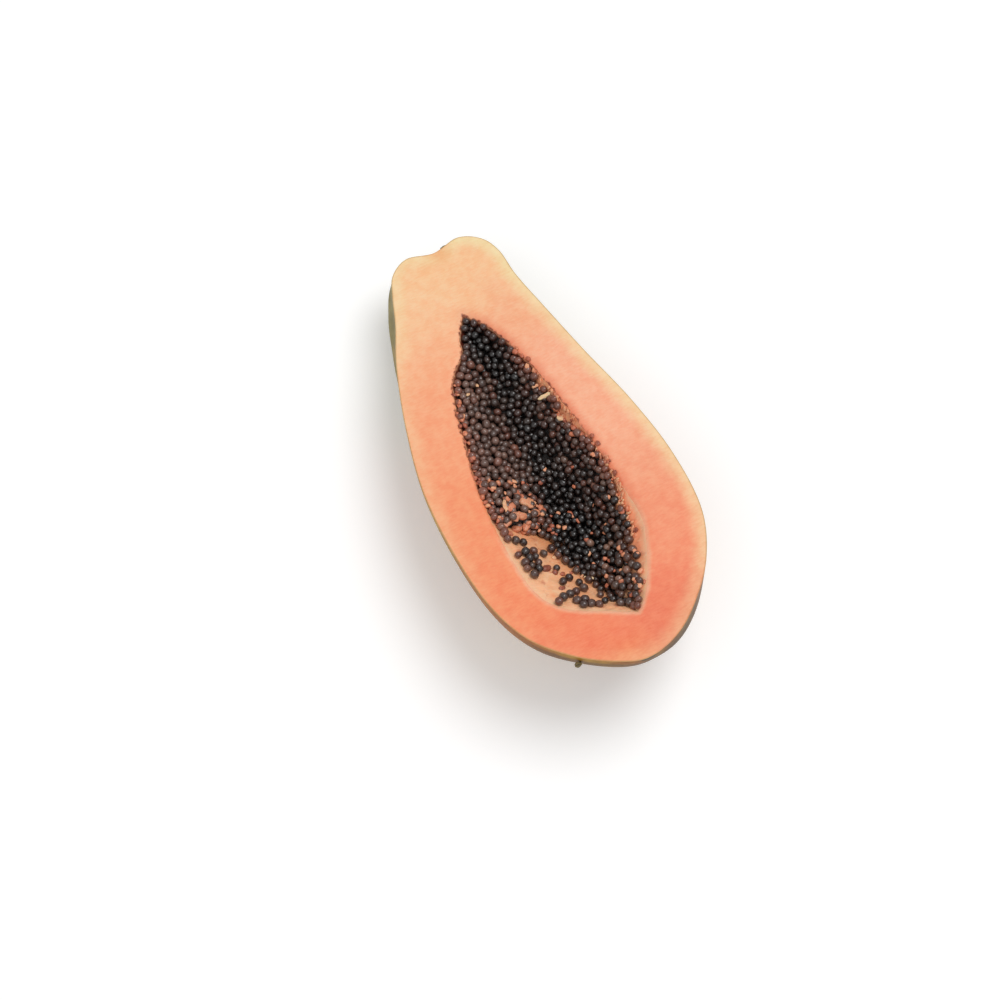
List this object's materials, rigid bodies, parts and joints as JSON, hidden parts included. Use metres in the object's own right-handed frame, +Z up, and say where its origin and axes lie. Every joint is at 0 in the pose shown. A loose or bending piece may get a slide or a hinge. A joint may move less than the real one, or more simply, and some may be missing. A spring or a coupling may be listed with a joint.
{
  "type": "papaya half",
  "caption": "Half of a ripe papaya cut lengthwise, lying on its skin, with its open cavity and the dark seeds in it facing up.",
  "frame": {"origin": "middle of the part's bounding box in X and Y, on the surface that it rests on", "axes": "+Z up, out of the cut face; +Y along the fruit towards the stem end; +X to the right, seen from the blossom end with the cut side up"},
  "size_m": [0.1334, 0.2762, 0.0792],
  "materials": {
    "flesh": "moist salmon-orange flesh, paler at the skin and the neck; skin mottled green, yellow and orange, waxy",
    "seeds": "wet, glossy, near black with brown ones at the edge"
  },
  "bodies": {
    "root": {"flesh": "flesh", "seeds": "seeds"}
  },
  "joints": []
}
